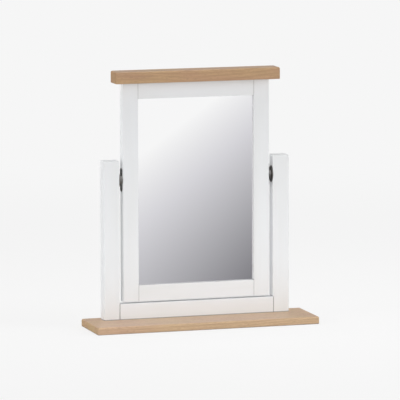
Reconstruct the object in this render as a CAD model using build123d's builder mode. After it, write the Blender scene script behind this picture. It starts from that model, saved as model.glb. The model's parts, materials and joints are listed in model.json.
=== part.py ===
from build123d import *
import os

os.makedirs("parts", exist_ok=True)

# A swivel mirror for a dressing table: an oak base carries two painted uprights, and a
# framed mirror with an oak cap tilts between them on a pair of riveted friction hinges.
# All sizes are in millimetres. X runs to the right, Y to the back and Z up, and the
# origin is the middle of the base's underside.

# Oak base board
base_width = 523.0
base_depth = 140.0
base_thickness = 17.0
base_corner_radius = 4.0
base_top_radius = 3.5
base_bottom_radius = 1.5

# Uprights and the rail between their feet
base_end_overhang = 41.5
post_width = 38.0
post_depth = 30.0
post_height = 362.0
post_back_margin = 15.0
post_edge_radius = 3.0
stretcher_height = 36.0
stretcher_thickness = 22.0
stretcher_edge_radius = 1.5

# Mirror frame
pivot_gap = 8.5
frame_foot_gap = 3.2
frame_height = 498.0
frame_thickness = 22.0
stile_width = 36.5
top_rail_height = 37.0
bottom_rail_height = 37.0
frame_edge_radius = 2.0
sight_edge_radius = 0.8
seam_chamfer = 0.7

# Stepped rebate behind the frame: the glass in front, the backing board behind
glass_lip = 7.0
glass_rebate_width = 8.0
board_rebate_width = 8.5
glass_thickness = 4.0
glass_clearance = 1.0
bead_width = 7.0
board_thickness = 4.0
board_clearance = 0.5

# Tenons of the frame rails
tenon_thickness = 8.0
tenon_length = 20.0
tenon_haunch = 8.0
joint_clearance = 0.1

# Oak cap on top of the frame
cap_side_overhang = 20.5
cap_front_overhang = 20.0
cap_back_overhang = 5.0
cap_thickness = 27.0
cap_corner_radius = 4.5
cap_top_radius = 4.0
cap_bottom_radius = 1.5

# Hinge: an eye-shaped plate on the upright, a strap with a pressed cup on the frame
pivot_drop = 44.5
hinge_plate_thickness = 1.8
post_plate_height = 38.0
post_plate_width = 28.0
post_plate_tip_radius = 2.0
post_plate_screw_reach = 13.5
strap_length = 53.0
strap_width = 12.0
strap_screw_reach = 20.0
cup_radius = 11.0
cup_wall = 1.4
cup_edge_radius = 0.9
rivet_radius = 3.0
rivet_head_radius = 6.0
rivet_head_thickness = 1.5
rivet_tail_radius = 4.5
rivet_tail_thickness = 1.4
washer_radius = 10.0
washer_thickness = 0.8
spring_radius = 8.0
spring_thickness = 0.8
spring_height = 1.3
running_clearance = 0.05
loose_clearance = 0.25

# Dowels
dowel_radius = 4.0
dowel_length = 30.0
dowel_chamfer = 1.0
stretcher_dowel_spacing = 16.0
cap_dowels_in_row = 4
cap_dowel_end_margin = 12.0

# Screws: head radius, shank radius and length
base_screw = (5.0, 2.4, 45.0)
hinge_screw = (3.4, 1.6, 16.0)
board_screw = (2.8, 1.3, 12.0)
screw_fit = 0.05
screw_sink_angle = 90.0
screw_tip = 1.5
post_screw_spacing = 16.0
stretcher_screw_end_margin = 82.0
board_screws_per_side = 4
board_screw_end_margin = 60.0

# Places worked out from the sizes
post_inner = base_width / 2 - base_end_overhang - post_width
post_middle = post_inner + post_width / 2
post_back = base_depth / 2 - post_back_margin
post_front = post_back - post_depth
pivot_y = post_back - post_depth / 2
pivot_z = base_thickness + post_height - pivot_drop
stretcher_y = post_front + stretcher_thickness / 2
stretcher_z = base_thickness + stretcher_height / 2
frame_half = post_inner - pivot_gap
frame_bottom = base_thickness + stretcher_height + frame_foot_gap
frame_top = frame_bottom + frame_height
frame_front = pivot_y - frame_thickness / 2
frame_back = pivot_y + frame_thickness / 2
sight_half = frame_half - stile_width
sight_bottom = frame_bottom + bottom_rail_height
sight_top = frame_top - top_rail_height
lip_back = frame_front + glass_lip
step_face = frame_back - board_thickness
board_wall = glass_rebate_width + board_rebate_width
glass_back = lip_back + glass_thickness
tenon_y = (lip_back + step_face) / 2

# Planes and axes of the left hinge: its stack is measured from the upright to the frame
post_side = Plane(origin=(-post_inner, pivot_y, pivot_z), x_dir=(0, 1, 0), z_dir=(1, 0, 0))
pivot_section = Plane(origin=(-post_inner, pivot_y, pivot_z), x_dir=(1, 0, 0), z_dir=(0, -1, 0))
pivot_axis = Axis((-post_inner, pivot_y, pivot_z), (1, 0, 0))
cup_start = hinge_plate_thickness + washer_thickness + running_clearance
cup_inside = cup_start + cup_wall
rivet_head_start = cup_inside + spring_height + running_clearance
strap_start = pivot_gap - hinge_plate_thickness
strap_face = Plane(post_side.offset(strap_start).origin, x_dir=(0, -1, 0), z_dir=(-1, 0, 0))
plate_face = post_side.offset(hinge_plate_thickness)
board_face = Plane(origin=(0, frame_back, 0), x_dir=(-1, 0, 0), z_dir=(0, 1, 0))
underside = Plane(origin=(0, 0, 0), x_dir=(1, 0, 0), z_dir=(0, 0, -1))

# Screw places, each seen on the face that the screw goes in from
board_screw_x = sight_half + glass_rebate_width + board_rebate_width / 2
board_screw_low = sight_bottom - glass_rebate_width - board_rebate_width / 2
board_screw_high = sight_top + glass_rebate_width + board_rebate_width / 2
board_side_pitch = (sight_top - sight_bottom - 2 * board_screw_end_margin) / (board_screws_per_side - 1)
board_side_places = [
    (side * board_screw_x, sight_bottom + board_screw_end_margin + row * board_side_pitch)
    for side in (-1, 1)
    for row in range(board_screws_per_side)
]
board_screw_places = board_side_places + [(0, board_screw_low), (0, board_screw_high)]
left_post_screw_places = [
    (-post_middle, -(pivot_y + side * post_screw_spacing / 2)) for side in (-1, 1)
]
stretcher_screw_places = [
    (side * (post_inner - stretcher_screw_end_margin), -stretcher_y) for side in (-1, 1)
]
right_post_screw_places = [(-x, y) for x, y in left_post_screw_places]
base_screw_places = left_post_screw_places + stretcher_screw_places + right_post_screw_places
post_plate_screw_places = [(0, side * post_plate_screw_reach) for side in (-1, 1)]
strap_screw_places = [(0, side * strap_screw_reach) for side in (-1, 1)]
cap_dowel_first = cap_dowel_end_margin - sight_half
cap_dowel_pitch = -2 * cap_dowel_first / (cap_dowels_in_row - 1)
cap_dowel_places = [
    (cap_dowel_first + place * cap_dowel_pitch, pivot_y) for place in range(cap_dowels_in_row)
]


def countersunk_screw(size):
    """One wood screw pointing down its own Z axis, its flat head's top at the origin."""
    head_radius, shank_radius, length = size
    with BuildPart() as screw:
        with BuildSketch(Plane.XZ):
            with BuildLine():
                Polyline(
                    (0, 0),
                    (head_radius, 0),
                    (shank_radius, shank_radius - head_radius),
                    (shank_radius, screw_tip - length),
                    (0, -length),
                    close=True,
                )
            make_face()
        revolve(axis=Axis.Z)
    return screw.part


def screw_set(size, plane, places):
    """The same screw at each place on a plane, heads level with the plane."""
    screw = countersunk_screw(size)
    with BuildPart() as screws:
        with Locations(plane):
            with Locations(*places):
                add(screw)
    return screws.part


def screw_holes(size, plane, places):
    """Countersunk holes through a plate for one size of screw, for use in its block."""
    head_radius, shank_radius, length = size
    with Locations(plane):
        with Locations(*places):
            CounterSinkHole(
                shank_radius + 2 * screw_fit,
                head_radius + screw_fit,
                depth=length,
                counter_sink_angle=screw_sink_angle,
            )


def pilot_holes(size, plane, places, covered):
    """Blind holes in the wood behind a plate that covers part of each screw."""
    head_radius, shank_radius, length = size
    with Locations(plane.offset(-covered)):
        with Locations(*places):
            Hole(shank_radius + screw_fit, depth=length - covered + screw_tip)


def dowel(length):
    """One dowel along Z, centred on the origin, with chamfered ends."""
    with BuildPart() as pin:
        Cylinder(dowel_radius, length)
        chamfer(pin.edges().filter_by(GeomType.CIRCLE), dowel_chamfer)
    return pin.part


def mirrored(left_part):
    """The right-hand twin of a left-hand piece."""
    with BuildPart() as right:
        mirror(left_part, about=Plane.YZ)
    return right.part


# Oak base board, screwed up into the uprights and the rail
with BuildPart() as base_board:
    with BuildSketch():
        RectangleRounded(base_width, base_depth, base_corner_radius)
    extrude(amount=base_thickness)
    fillet(base_board.edges().group_by(Axis.Z)[-1], base_top_radius)
    fillet(base_board.edges().group_by(Axis.Z)[0], base_bottom_radius)
    screw_holes(base_screw, underside, base_screw_places)

base_screws = screw_set(base_screw, underside, base_screw_places)

# Left upright, bored for the dowels, the screws from below, the hinge and its rivet tail
with BuildPart() as left_post:
    with BuildSketch(Plane.XY.offset(base_thickness)):
        with Locations((-post_middle, pivot_y)):
            Rectangle(post_width, post_depth)
    extrude(amount=post_height)
    fillet(
        left_post.edges().filter_by(Axis.Z) + left_post.edges().group_by(Axis.Z)[-1],
        post_edge_radius,
    )
    pilot_holes(base_screw, underside, left_post_screw_places, base_thickness)
    pilot_holes(hinge_screw, plate_face, post_plate_screw_places, hinge_plate_thickness)
    with BuildSketch(post_side):
        Circle(rivet_tail_radius + loose_clearance)
    extrude(amount=-(rivet_tail_thickness + loose_clearance), mode=Mode.SUBTRACT)
    with BuildSketch(Plane.YZ.offset(-post_inner)):
        with Locations((stretcher_y, stretcher_z)):
            with GridLocations(0, stretcher_dowel_spacing, 1, 2):
                Circle(dowel_radius + joint_clearance)
    extrude(amount=-(dowel_length / 2 + joint_clearance), mode=Mode.SUBTRACT)

# Rail between the uprights, level with their front faces
with BuildPart() as stretcher_rail:
    with BuildSketch(Plane.XY.offset(base_thickness)):
        with Locations((0, stretcher_y)):
            Rectangle(2 * post_inner, stretcher_thickness)
    extrude(amount=stretcher_height)
    fillet(
        stretcher_rail.edges().filter_by(Axis.X).group_by(Axis.Z)[-1],
        stretcher_edge_radius,
    )
    pilot_holes(base_screw, underside, stretcher_screw_places, base_thickness)
    for end in (-1, 1):
        with BuildSketch(Plane.YZ.offset(end * post_inner)):
            with Locations((stretcher_y, stretcher_z)):
                with GridLocations(0, stretcher_dowel_spacing, 1, 2):
                    Circle(dowel_radius + joint_clearance)
        extrude(amount=-end * (dowel_length / 2 + joint_clearance), mode=Mode.SUBTRACT)

plain_dowel = dowel(dowel_length)
stretcher_dowel_places = [
    (end * post_inner, stretcher_y, stretcher_z + level * stretcher_dowel_spacing / 2)
    for end in (-1, 1)
    for level in (-1, 1)
]
with BuildPart() as stretcher_dowels:
    with Locations(*stretcher_dowel_places):
        add(plain_dowel, rotation=(0, 90, 0))

# Left stile: one machined section with the stepped rebate along its whole length
with BuildPart() as left_stile:
    with BuildSketch(Plane.XY.offset(frame_bottom)):
        with BuildLine():
            Polyline(
                (-sight_half, frame_front),
                (-frame_half, frame_front),
                (-frame_half, frame_back),
                (-sight_half - board_wall, frame_back),
                (-sight_half - board_wall, step_face),
                (-sight_half - glass_rebate_width, step_face),
                (-sight_half - glass_rebate_width, lip_back),
                (-sight_half, lip_back),
                close=True,
            )
        make_face()
    extrude(amount=frame_height)
    outer_edges = left_stile.edges().filter_by(Axis.Z).group_by(Axis.X)[0]
    foot_edges = left_stile.edges().group_by(Axis.Z)[0]
    foot_side = foot_edges.filter_by(Axis.Y).group_by(Axis.X)[0]
    foot_front = foot_edges.filter_by(Axis.X).group_by(Axis.Y)[0]
    foot_back = foot_edges.filter_by(Axis.X).group_by(Axis.Y)[-1]
    fillet(outer_edges + foot_side + foot_front + foot_back, frame_edge_radius)
    sight_edge = left_stile.edges().filter_by(Axis.Z).group_by(Axis.Y)[0].sort_by(Axis.X)[-1]
    fillet(sight_edge, sight_edge_radius)
    for rail_sight, rail_height, outward in (
        (sight_top, top_rail_height, 1),
        (sight_bottom, bottom_rail_height, -1),
    ):
        tenon_height = rail_height - glass_rebate_width - tenon_haunch
        tenon_z = rail_sight + outward * (glass_rebate_width + tenon_height / 2)
        with BuildSketch(Plane.YZ.offset(-sight_half - glass_rebate_width)):
            with Locations((tenon_y, tenon_z)):
                Rectangle(
                    tenon_thickness + 2 * joint_clearance, tenon_height + 2 * joint_clearance
                )
        extrude(amount=-(tenon_length + joint_clearance), mode=Mode.SUBTRACT)
    pilot_holes(hinge_screw, strap_face, strap_screw_places, hinge_plate_thickness)
    pilot_holes(board_screw, board_face, board_side_places, board_thickness)


def frame_rail(rail_sight, rail_height, outward, screw_place):
    """A frame rail whose long and short shoulders fill the stiles' stepped rebates."""
    layers = (
        (frame_front, lip_back, 0, sight_half),
        (lip_back, step_face, glass_rebate_width, sight_half + glass_rebate_width),
        (step_face, frame_back, board_wall, sight_half + board_wall),
    )
    tenon_height = rail_height - glass_rebate_width - tenon_haunch
    tenon_z = rail_sight + outward * (glass_rebate_width + tenon_height / 2)
    with BuildPart() as rail:
        for front, back, rebate, reach in layers:
            height = rail_height - rebate
            with BuildSketch(Plane.YZ):
                with Locations(((front + back) / 2, rail_sight + outward * (rebate + height / 2))):
                    Rectangle(back - front, height)
            extrude(amount=reach, both=True)
        front_edges = rail.edges().group_by(Axis.Y)[0]
        chamfer(front_edges.filter_by(Axis.Z), seam_chamfer)
        sight_edges = rail.edges().filter_by(Axis.X).group_by(Axis.Y)[0]
        fillet(sight_edges.sort_by(Axis.Z, reverse=outward > 0)[-1], sight_edge_radius)
        with BuildSketch(Plane.YZ):
            with Locations((tenon_y, tenon_z)):
                Rectangle(tenon_thickness, tenon_height)
        extrude(amount=sight_half + glass_rebate_width + tenon_length, both=True)
        pilot_holes(board_screw, board_face, [screw_place], board_thickness)
    return rail.part


# Top rail, bored for the cap's dowels
top_rail_blank = frame_rail(sight_top, top_rail_height, 1, (0, board_screw_high))
with BuildPart() as top_rail:
    add(top_rail_blank)
    with Locations(Plane.XY.offset(frame_top)):
        with Locations(*cap_dowel_places):
            Hole(dowel_radius + joint_clearance, depth=dowel_length / 2 + joint_clearance)

# Bottom rail, its lower edges rounded in line with the stiles' feet
bottom_rail_blank = frame_rail(sight_bottom, bottom_rail_height, -1, (0, board_screw_low))
with BuildPart() as bottom_rail:
    add(bottom_rail_blank)
    lower_edges = bottom_rail.edges().filter_by(Axis.X).group_by(Axis.Z)[0].group_by(Axis.Y)
    fillet(lower_edges[0] + lower_edges[-1], frame_edge_radius)

# Oak cap, dowelled on top of the frame
with BuildPart() as top_cap:
    with BuildSketch(Plane.XY.offset(frame_top)):
        with Locations((0, pivot_y + (cap_back_overhang - cap_front_overhang) / 2)):
            RectangleRounded(
                2 * (frame_half + cap_side_overhang),
                frame_thickness + cap_front_overhang + cap_back_overhang,
                cap_corner_radius,
            )
    extrude(amount=cap_thickness)
    fillet(top_cap.edges().group_by(Axis.Z)[-1], cap_top_radius)
    fillet(top_cap.edges().group_by(Axis.Z)[0], cap_bottom_radius)
    with BuildSketch(Plane.XY.offset(frame_top)):
        with Locations(*cap_dowel_places):
            Circle(dowel_radius + joint_clearance)
    extrude(amount=dowel_length / 2 + joint_clearance, mode=Mode.SUBTRACT)

with BuildPart() as cap_dowels:
    with Locations(Plane.XY.offset(frame_top)):
        with Locations(*cap_dowel_places):
            add(plain_dowel)

# Mirror glass, standing on the bottom rail's rebate with room at the sides and top
glass_bottom = sight_bottom - glass_rebate_width
glass_top = sight_top + glass_rebate_width - glass_clearance
with BuildPart() as mirror_glass:
    with BuildSketch(Plane.XZ.offset(-lip_back)):
        with Locations((0, (glass_bottom + glass_top) / 2)):
            Rectangle(
                2 * (sight_half + glass_rebate_width - glass_clearance), glass_top - glass_bottom
            )
    extrude(amount=-glass_thickness)

# Wooden beads that hold the glass against the lip, the long ones between the short ones
bead_depth = step_face - glass_back
side_bead_height = sight_top - sight_bottom + 2 * (glass_rebate_width - bead_width)
with BuildPart() as left_bead:
    with BuildSketch(Plane.XZ.offset(-glass_back)):
        with Locations(
            (-sight_half - glass_rebate_width + bead_width / 2, (sight_top + sight_bottom) / 2)
        ):
            Rectangle(bead_width, side_bead_height)
    extrude(amount=-bead_depth)


def rail_bead(rail_sight, outward):
    """A bead along a rail's rebate, from stile to stile."""
    with BuildPart() as bead:
        with BuildSketch(Plane.XZ.offset(-glass_back)):
            with Locations((0, rail_sight + outward * (glass_rebate_width - bead_width / 2))):
                Rectangle(2 * (sight_half + glass_rebate_width), bead_width)
        extrude(amount=-bead_depth)
    return bead.part


top_bead = rail_bead(sight_top, 1)
bottom_bead = rail_bead(sight_bottom, -1)

# Backing board, level with the frame's back
with BuildPart() as backing_board:
    with BuildSketch(Plane.XZ.offset(-step_face)):
        with Locations((0, (sight_top + sight_bottom) / 2)):
            Rectangle(
                2 * (sight_half + board_wall - board_clearance),
                sight_top - sight_bottom + 2 * (board_wall - board_clearance),
            )
    extrude(amount=-board_thickness)
    screw_holes(board_screw, board_face, board_screw_places)

backing_screws = screw_set(board_screw, board_face, board_screw_places)

# Eye-shaped hinge plate on the left upright
with BuildPart() as left_post_plate:
    with BuildSketch(post_side):
        with BuildLine():
            ThreePointArc(
                (0, -post_plate_height / 2), (post_plate_width / 2, 0), (0, post_plate_height / 2)
            )
            ThreePointArc(
                (0, post_plate_height / 2), (-post_plate_width / 2, 0), (0, -post_plate_height / 2)
            )
        make_face()
    extrude(amount=hinge_plate_thickness)
    tips = left_post_plate.edges().filter_by(Axis.X)
    fillet(tips, post_plate_tip_radius)
    with Locations(plate_face):
        Hole(rivet_radius + running_clearance)
    screw_holes(hinge_screw, plate_face, post_plate_screw_places)

# Strap on the frame's side with its pressed cup, which turns on the rivet
with BuildPart() as left_frame_plate:
    with BuildSketch(post_side.offset(strap_start)):
        SlotOverall(strap_length, strap_width, rotation=90)
    extrude(amount=hinge_plate_thickness)
    with BuildSketch(post_side.offset(cup_start)):
        Circle(cup_radius)
    extrude(amount=pivot_gap - cup_start)
    cup_rim = left_frame_plate.edges().group_by(Axis.X)[0]
    fillet(cup_rim, cup_edge_radius)
    with BuildSketch(post_side.offset(cup_inside)):
        Circle(cup_radius - cup_wall)
    extrude(amount=pivot_gap - cup_inside, mode=Mode.SUBTRACT)
    with BuildSketch(post_side.offset(cup_start)):
        Circle(rivet_radius + running_clearance)
    extrude(amount=cup_wall, mode=Mode.SUBTRACT)
    screw_holes(hinge_screw, strap_face, strap_screw_places)

# Rivet: its head holds the spring in the cup and its tail is spread behind the plate
with BuildPart() as left_rivet:
    with BuildSketch(pivot_section):
        with BuildLine():
            Polyline(
                (-rivet_tail_thickness, 0),
                (-rivet_tail_thickness, rivet_tail_radius - rivet_tail_thickness / 2),
                (-rivet_tail_thickness / 2, rivet_tail_radius),
                (0, rivet_tail_radius),
                (0, rivet_radius),
                (rivet_head_start, rivet_radius),
                (rivet_head_start, rivet_head_radius),
                (rivet_head_start + rivet_head_thickness / 2, rivet_head_radius),
                (rivet_head_start + rivet_head_thickness, rivet_head_radius - rivet_head_thickness / 2),
                (rivet_head_start + rivet_head_thickness, 0),
                close=True,
            )
        make_face()
    revolve(axis=pivot_axis)

# Fibre washer between the plate on the upright and the cup
with BuildPart() as left_friction_washer:
    with BuildSketch(plate_face):
        Circle(washer_radius)
        Circle(rivet_radius + loose_clearance, mode=Mode.SUBTRACT)
    extrude(amount=washer_thickness)

# Dished spring washer inside the cup, which presses the cup on the fibre washer
spring_rise = spring_height - spring_thickness
with BuildPart() as left_spring_washer:
    with BuildSketch(pivot_section):
        with BuildLine():
            Polyline(
                (cup_inside, spring_radius),
                (cup_inside + spring_thickness, spring_radius),
                (cup_inside + spring_height, rivet_radius + loose_clearance),
                (cup_inside + spring_rise, rivet_radius + loose_clearance),
                close=True,
            )
        make_face()
    revolve(axis=pivot_axis)

left_plate_screws = screw_set(hinge_screw, plate_face, post_plate_screw_places)
left_strap_screws = screw_set(hinge_screw, strap_face, strap_screw_places)

with BuildPart() as post_plate_screws:
    add(left_plate_screws)
    mirror(left_plate_screws, about=Plane.YZ)

with BuildPart() as strap_screws:
    add(left_strap_screws)
    mirror(left_strap_screws, about=Plane.YZ)

# Pieces that come in pairs are made once and mirrored
paired = {
    "post": left_post.part,
    "stile": left_stile.part,
    "bead": left_bead.part,
    "post_plate": left_post_plate.part,
    "frame_plate": left_frame_plate.part,
    "rivet": left_rivet.part,
    "friction_washer": left_friction_washer.part,
    "spring_washer": left_spring_washer.part,
}
single = {
    "base_board": base_board.part,
    "base_screws": base_screws,
    "stretcher_rail": stretcher_rail.part,
    "stretcher_dowels": stretcher_dowels.part,
    "top_rail": top_rail.part,
    "bottom_rail": bottom_rail.part,
    "top_cap": top_cap.part,
    "cap_dowels": cap_dowels.part,
    "mirror_glass": mirror_glass.part,
    "top_bead": top_bead,
    "bottom_bead": bottom_bead,
    "backing_board": backing_board.part,
    "backing_screws": backing_screws,
    "post_plate_screws": post_plate_screws.part,
    "strap_screws": strap_screws.part,
}

pieces = dict(single)
for name, left_part in paired.items():
    pieces["left_" + name] = left_part
    pieces["right_" + name] = mirrored(left_part)

for name, piece in pieces.items():
    piece.label = name
    export_step(piece, f"parts/{name}.step")
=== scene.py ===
"""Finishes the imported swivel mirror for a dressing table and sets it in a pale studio.

Lengths are in metres in the model's own frame: X to the right, Y to the back and Z up, from the
middle of the base board's underside. Colours are linear.
"""

import json
import math

import bpy
import numpy as np
from bpy.props import FloatProperty, FloatVectorProperty, IntProperty, PointerProperty
from mathutils import Matrix, Vector

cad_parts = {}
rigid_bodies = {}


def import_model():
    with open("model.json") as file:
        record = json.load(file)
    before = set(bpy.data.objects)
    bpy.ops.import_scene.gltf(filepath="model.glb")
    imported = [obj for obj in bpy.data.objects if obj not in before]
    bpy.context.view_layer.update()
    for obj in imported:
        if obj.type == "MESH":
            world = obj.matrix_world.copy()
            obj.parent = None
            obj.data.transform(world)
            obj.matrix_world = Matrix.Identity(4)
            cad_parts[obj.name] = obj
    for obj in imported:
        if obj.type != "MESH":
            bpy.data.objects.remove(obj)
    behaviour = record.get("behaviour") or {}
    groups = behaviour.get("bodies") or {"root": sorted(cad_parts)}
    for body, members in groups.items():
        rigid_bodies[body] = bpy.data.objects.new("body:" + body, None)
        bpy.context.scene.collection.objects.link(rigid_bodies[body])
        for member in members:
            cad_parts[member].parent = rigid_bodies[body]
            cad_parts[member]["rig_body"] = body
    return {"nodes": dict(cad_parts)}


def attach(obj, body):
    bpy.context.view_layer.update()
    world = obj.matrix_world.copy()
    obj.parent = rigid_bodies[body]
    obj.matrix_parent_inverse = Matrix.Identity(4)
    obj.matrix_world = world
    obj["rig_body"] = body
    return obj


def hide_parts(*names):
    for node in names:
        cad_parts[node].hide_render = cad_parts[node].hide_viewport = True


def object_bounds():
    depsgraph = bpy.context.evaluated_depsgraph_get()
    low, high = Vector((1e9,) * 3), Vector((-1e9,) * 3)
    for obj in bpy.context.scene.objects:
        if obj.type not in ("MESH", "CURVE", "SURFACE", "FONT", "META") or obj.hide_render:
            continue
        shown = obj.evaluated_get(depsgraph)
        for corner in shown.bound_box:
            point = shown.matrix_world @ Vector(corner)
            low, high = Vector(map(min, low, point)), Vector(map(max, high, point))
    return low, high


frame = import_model()
cad_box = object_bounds()

bl_info = {
    "name": "Dressing Table Mirror",
    "version": (1, 0, 0),
    "blender": (4, 5, 0),
    "location": "3D View > Sidebar > Mirror",
    "description": "Finishes, screws and studio for a swivel dressing table mirror",
    "category": "Object",
}

FLOOR_REACH = 30.0
WHITE = (1.0, 1.0, 1.0)

# Painted shade in seams and corners: how far the shade of a near surface reaches, how open
# a place is where the shade is full and where it ends, and the shade's strength and colour
SEAM_REACH = 0.0025
SEAM_OPENNESS = (0.62, 0.97)
SEAM_SHADE = 0.68
SEAM_SHADE_COLOUR = (0.16, 0.154, 0.148)

# Edges: how nearly the rounded and the flat surface face the same way, where the rub along an
# edge is full and where it ends
EDGE_TURN = (0.80, 0.99)

# Hearts of the trunks that the oak boards were sawn from, and how the grain slants in them
BASE_HEART = (0.0, 0.055, -0.070)
CAP_HEART = (0.0, 0.120, 0.520)
TRUNK_LEAN = (0.0, 0.006, 0.010)

# Oak: the shares of a year's ring in which it darkens and pales again, the strength of the pores
# in its pale part, the depth of its dark part, of a pore's, the roughness that a pore adds, and
# the tones of the darkest and the palest fibres
RING_DARKENS = (0.15, 0.80)
RING_PALES = (0.86, 1.0)
EARLY_PORES = 1.05
LATE_SINK = 0.15
PORE_DULLNESS = 0.2
FIBRE_TONES = (0.90, 1.08)

# How squarely a face looks along an axis, where its end tone or painted light starts and is full
FACE_TURN = (0.60, 0.95)

# Levels of the noise between which each pattern comes up
SOFT_NOISE = (0.25, 0.75)
OAK_PORES = (0.60, 0.70)
OAK_PATCHES = (0.36, 0.64)
PAINT_CLOUDS = (0.30, 0.70)
WOOD_LINES = (0.35, 0.70)
WOOD_STRANDS = (0.50, 0.80)
BOARD_FIBRES = (0.50, 0.80)
BOARD_SHINE = (0.30, 0.80)
BOARD_CLOUDS = (0.20, 0.80)
WIPE_MARKS = (0.45, 0.75)
METAL_CLOUDS = (0.45, 0.75)
METAL_SHINE = (0.30, 0.70)

# How finely the hardboard's two sets of fibres lie along each axis, by their size
FIRST_FIBRES = (3.0, 1.0, 0.6)
SECOND_FIBRES = (0.6, 1.0, 3.0)

# Turn and stretch of the marks that a cloth leaves on the glass
WIPE_TURN = (0.0, 0.6, 0.0)
WIPE_STRETCH = (0.4, 1.0, 1.0)

# Hinges: where they turn, in Y and Z, how far from there the wear and painted light are full and
# where they end, and how strong the wear is in the plating's patches, along the edges and, with
# painted light where the cups catch the light, round the pivot
PIVOT = (0.040, 0.3345)
CUP_WEAR_AND_LIGHT = (0.0105, 0.0125)
PLATE_WEAR_AND_LIGHT = (0.0140, 0.0175)
PATCH_RUB = 0.35
EDGE_RUB = 0.8
PIVOT_RUB_AND_LIGHT = 0.9

# Screws. The cross's walls reach its floor at these shares of an arm's half width and reach. Two
# more grid lines lie at shares of the reach and of the head's radius. The cross is shallower at
# its ends by the taper, and the bevel under the rim is a share of the head's radius.
WALL_FOOT = 0.7
END_FOOT = 0.85
ARM_LINE = 0.55
HEAD_LINE = 0.78
CROSS_TAPER = 0.75
RIM_DROP = 0.02

# Turn from one screw to the next, the angle from which a mesh's edge is sharp, and how far apart
# two points of one level may be
SCREW_SPIN = 2.4
SHARP_ANGLE = math.radians(40.0)
SAME_LEVEL = 1e-5

# Floor: between which distances its shadow fades out, and its dark painted reflection. The painted
# reflection brightens by the slope, per metre, from its brightness at the origin
SHADOW_FADE = (0.5, 3.0)
REFLECTION_FADE = (4.2, 8.0)
REFLECTION_SLOPE = (-1.0013, -0.4721, 0.0)
REFLECTION_AT_ORIGIN = 0.289

# How far to the back a reflected ray points where the background's darkening starts and ends
BACK_FADE = (0.1, 0.6)


# Settings

def colour(name, description, default):
    """A linear colour that a user can change."""
    return FloatVectorProperty(
        name=name, description=description, default=default, subtype="COLOR", min=0.0, max=1.0
    )


def length(name, description, default):
    """A length in metres that a user can change."""
    return FloatProperty(
        name=name, description=description, default=default, min=0.0, unit="LENGTH", precision=5
    )


def share(name, description, default):
    """A number from 0 to 1 that a user can change."""
    return FloatProperty(
        name=name, description=description, default=default, min=0.0, max=1.0, subtype="FACTOR"
    )


def number(name, description, default):
    """A number from 0 up that a user can change."""
    return FloatProperty(name=name, description=description, default=default, min=0.0)


def angle(name, description, degrees):
    """An angle that a user can change."""
    return FloatProperty(
        name=name, description=description, default=math.radians(degrees), unit="ROTATION"
    )


def place(name, description, default):
    """A point in the model's frame that a user can change."""
    return FloatVectorProperty(
        name=name, description=description, default=default, subtype="TRANSLATION", unit="LENGTH"
    )


class OakSettings(bpy.types.PropertyGroup):
    """The lacquered oak of the base board and the cap."""

    straw: colour("Straw tone", "Yellower tone of the oak", (0.560, 0.400, 0.240))
    rose: colour("Rose tone", "Pinker tone of the oak", (0.535, 0.360, 0.237))
    late: colour("Latewood", "Darker edge of each year's ring", (0.375, 0.245, 0.143))
    pore: colour("Pores", "Open pores, which hold the most shade", (0.190, 0.110, 0.060))
    base_shade: colour("Base shade", "Tone of the base board, of the oak's", (0.990, 0.970, 0.985))
    # End tones: oak's darker end grain, each also set for how that end is lit, so partly painted
    # light
    base_end: colour(
        "Base end", "Tone of the base's end grain, of its front's", (0.922, 0.931, 0.836)
    )
    # Painted light: the base's flat faces are lighter than its front, for the light falling on the
    # top
    base_top_painted_light: number("Base top", "Tone of the base's flat faces, of its front's", 1.21)
    cap_shade: colour("Cap shade", "Tone of the cap, of the oak's", (0.942, 0.855, 0.790))
    cap_end: colour(
        "Cap end", "Tone of the cap's end grain, of its front's", (0.800, 0.785, 0.753)
    )
    # Painted light: the cap's flat faces are darker than its front, for the light falling on the
    # top
    cap_top_painted_light: number("Cap top", "Tone of the cap's flat faces, of its front's", 0.9)
    ring_spacing: length("Ring spacing", "Distance between two years' rings", 0.0034)
    ring_bend: length("Ring bend", "How far the rings wander along the board", 0.0085)
    ring_shade: share("Ring shade", "How strongly the latewood shows", 0.42)
    sway_length: length("Sway length", "Length of the rings' slow bends", 0.34)
    sway_width: length("Sway width", "Width of the rings' slow bends", 0.075)
    pore_length: length("Pore length", "Length of a pore along the grain", 0.009)
    pore_width: length("Pore width", "Width of a pore across the grain", 0.00045)
    pore_depth: length("Pore depth", "Depth of a pore in the lacquer", 0.00006)
    pore_shade: share("Pore shade", "How strongly the pores show", 0.5)
    fibre_length: length("Fibre length", "Length of a bundle of fibres", 0.060)
    fibre_width: length("Fibre width", "Width of a bundle of fibres", 0.0016)
    patch_length: length("Patch length", "Length of a patch of one tone", 0.130)
    patch_width: length("Patch width", "Width of a patch of one tone", 0.030)
    rub_tone: colour(
        "Rubbed edge", "Colour where the lacquer is rubbed thin", (0.600, 0.440, 0.290)
    )
    rub_width: length("Rub width", "Width of the rub along an edge", 0.0015)
    rub: share("Rub", "How strongly the rub shows", 0.25)
    roughness: share("Roughness", "Roughness of the lacquer", 0.34)
    end_dullness: share("End dullness", "Roughness that the end grain adds", 0.40)
    gloss: share("Gloss", "Strength of the lacquer's reflection", 0.50)


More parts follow.
